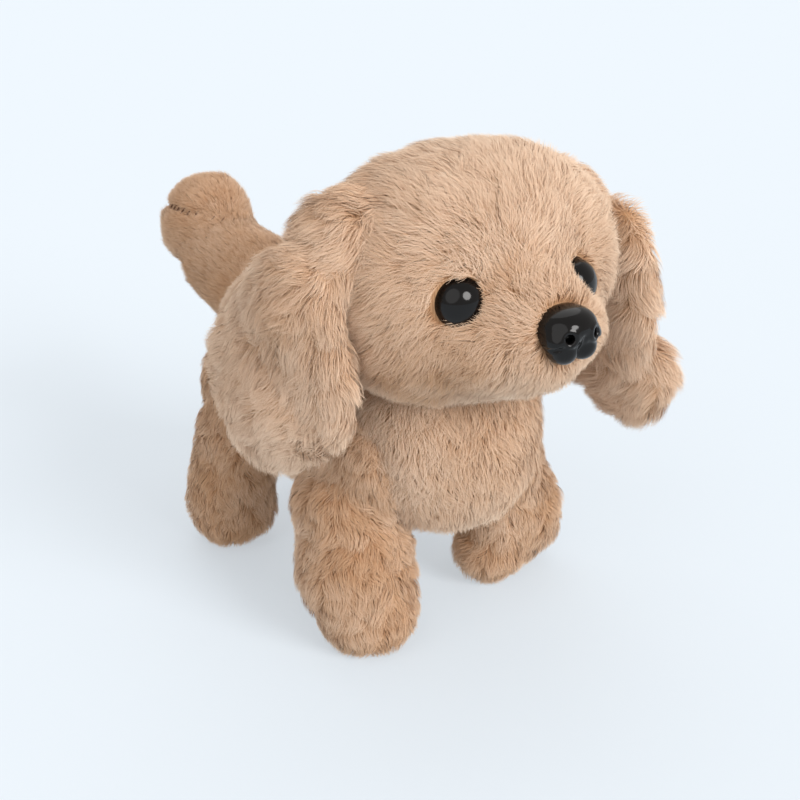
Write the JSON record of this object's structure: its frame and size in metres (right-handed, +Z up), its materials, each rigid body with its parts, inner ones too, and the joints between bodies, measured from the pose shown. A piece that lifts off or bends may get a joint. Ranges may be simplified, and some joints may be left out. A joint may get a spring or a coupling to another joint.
{
  "type": "walking plush puppy",
  "caption": "Battery walking toy puppy in long tan pile fabric, with drooping ears, an upright tail, and gear-driven swinging legs.",
  "frame": {"origin": "on the floor, under the middle of the toy's bounding box", "axes": "+Z up, the dog looks along -Y, and its left side is +X"},
  "size_m": [0.1476, 0.22, 0.161],
  "materials": {
    "pile_fabric": "long soft pile, combed",
    "stuffing": "loose fibre",
    "ivory_plastic": "moulded",
    "grey_plastic": "moulded",
    "gear_nylon": "moulded",
    "black_gloss": "polished",
    "dark_plastic": "fine texture",
    "steel": "plain",
    "brass": "machined",
    "circuit_board": "lacquered",
    "battery_wrap": "shrink wrap"
  },
  "bodies": {
    "chassis": {"torso_plush": "pile_fabric", "back_filling": "stuffing", "body_shell_left": "ivory_plastic", "body_shell_right": "ivory_plastic", "body_screw_1": "steel", "body_screw_2": "steel", "body_screw_3": "steel", "motor": "steel", "idler_pin_a": "steel", "idler_pin_b": "steel", "battery_tray": "dark_plastic", "battery_cell_left": "battery_wrap", "battery_cell_right": "battery_wrap", "battery_cover": "ivory_plastic", "cover_screw": "steel", "contact_plate": "steel", "contact_spring": "steel", "circuit_board": "circuit_board", "speaker": "dark_plastic", "switch_tower": "dark_plastic", "front_hip_axle": "steel", "rear_hip_axle": "steel", "neck_post": "ivory_plastic", "neck_pin": "steel", "tail_bracket": "ivory_plastic", "tail_pin": "steel"},
    "crank": {"crank_shaft": "steel", "output_gear": "gear_nylon", "crank_disc_left": "grey_plastic", "crank_disc_right": "grey_plastic"},
    "idler_b": {"idler_gear_b": "gear_nylon"},
    "idler_a": {"idler_gear_a": "gear_nylon"},
    "rotor": {"motor_pinion": "brass"},
    "front_left": {"front_left_lever": "ivory_plastic", "front_left_leg": "pile_fabric"},
    "front_right": {"front_right_lever": "ivory_plastic", "front_right_leg": "pile_fabric"},
    "rear_left": {"rear_left_lever": "ivory_plastic", "rear_left_leg": "pile_fabric"},
    "rear_right": {"rear_right_lever": "ivory_plastic", "rear_right_leg": "pile_fabric"},
    "rod_left": {"side_rod_left": "grey_plastic"},
    "rod_right": {"side_rod_right": "grey_plastic"},
    "head": {"head_plush": "pile_fabric", "head_filling": "stuffing", "head_core": "ivory_plastic", "eye_left": "black_gloss", "eye_right": "black_gloss", "eye_washer_left": "grey_plastic", "eye_washer_right": "grey_plastic", "nose": "black_gloss", "nose_washer": "grey_plastic"},
    "ear_left": {"left_ear": "pile_fabric"},
    "ear_right": {"right_ear": "pile_fabric"},
    "tail": {"tail_core": "ivory_plastic", "tail_plush": "pile_fabric"},
    "switch": {"switch_knob": "grey_plastic"},
    "flap": {"belly_flap": "pile_fabric"}
  },
  "joints": [
    {"name": "crank_spin", "type": "hinge", "parent": "chassis", "child": "crank", "pos_m": [0, -0.022, 0.06], "axis": [1, 0, 0], "continuous": true},
    {"name": "idler_b_spin", "type": "hinge", "parent": "chassis", "child": "idler_b", "pos_m": [0, -0.01144, 0.06492], "axis": [1, 0, 0], "continuous": true},
    {"name": "idler_a_spin", "type": "hinge", "parent": "chassis", "child": "idler_a", "pos_m": [0, -0.00088, 0.06985], "axis": [1, 0, 0], "continuous": true},
    {"name": "motor_spin", "type": "hinge", "parent": "chassis", "child": "rotor", "pos_m": [0, 0.00967, 0.07477], "axis": [1, 0, 0], "continuous": true},
    {"name": "front_left_swing", "type": "hinge", "parent": "chassis", "child": "front_left", "pos_m": [0, -0.041, 0.06], "axis": [-1, 0, 0], "range_deg": [-4, 14]},
    {"name": "front_right_swing", "type": "hinge", "parent": "chassis", "child": "front_right", "pos_m": [0, -0.041, 0.06], "axis": [-1, 0, 0], "range_deg": [-14, 4]},
    {"name": "rear_left_swing", "type": "hinge", "parent": "chassis", "child": "rear_left", "pos_m": [0, 0.037, 0.06], "axis": [-1, 0, 0], "range_deg": [-4, 14]},
    {"name": "rear_right_swing", "type": "hinge", "parent": "chassis", "child": "rear_right", "pos_m": [0, 0.037, 0.06], "axis": [-1, 0, 0], "range_deg": [-14, 4]},
    {"name": "rod_left_turn", "type": "hinge", "parent": "front_left", "child": "rod_left", "pos_m": [0, -0.04205, 0.07195], "axis": [-1, 0, 0], "range_deg": [-14, 4]},
    {"name": "rod_right_turn", "type": "hinge", "parent": "front_right", "child": "rod_right", "pos_m": [0, -0.03995, 0.07195], "axis": [-1, 0, 0], "range_deg": [-4, 14]},
    {"name": "head_nod", "type": "hinge", "parent": "chassis", "child": "head", "pos_m": [0, -0.046, 0.103], "axis": [1, 0, 0], "range_deg": [-8, 8]},
    {"name": "ear_left_lift", "type": "hinge", "parent": "head", "child": "ear_left", "pos_m": [0.038, -0.054, 0.154], "axis": [0, -1, 0], "range_deg": [0, 60]},
    {"name": "ear_right_lift", "type": "hinge", "parent": "head", "child": "ear_right", "pos_m": [-0.038, -0.054, 0.154], "axis": [0, 1, 0], "range_deg": [0, 60]},
    {"name": "tail_wag", "type": "hinge", "parent": "chassis", "child": "tail", "pos_m": [0, 0.052, 0.0915], "axis": [0, 0, 1], "range_deg": [-15, 15]},
    {"name": "switch_slide", "type": "slide", "parent": "chassis", "child": "switch", "axis": [0, 1, 0], "range_m": [0, 0.004]},
    {"name": "flap_pull", "type": "slide", "parent": "chassis", "child": "flap", "axis": [0, 0, -1], "range_m": [0, 0.012]}
  ],
  "couplings": [
    {"joint": "idler_b_spin", "follows": "crank_spin", "ratio": -3.6},
    {"joint": "idler_a_spin", "follows": "crank_spin", "ratio": 12.96},
    {"joint": "motor_spin", "follows": "crank_spin", "ratio": -46.656},
    {"joint": "front_right_swing", "follows": "front_left_swing", "ratio": -1},
    {"joint": "rear_left_swing", "follows": "front_left_swing", "ratio": 1},
    {"joint": "rear_right_swing", "follows": "front_left_swing", "ratio": -1},
    {"joint": "rod_left_turn", "follows": "front_left_swing", "ratio": -1},
    {"joint": "rod_right_turn", "follows": "front_left_swing", "ratio": 1}
  ]
}
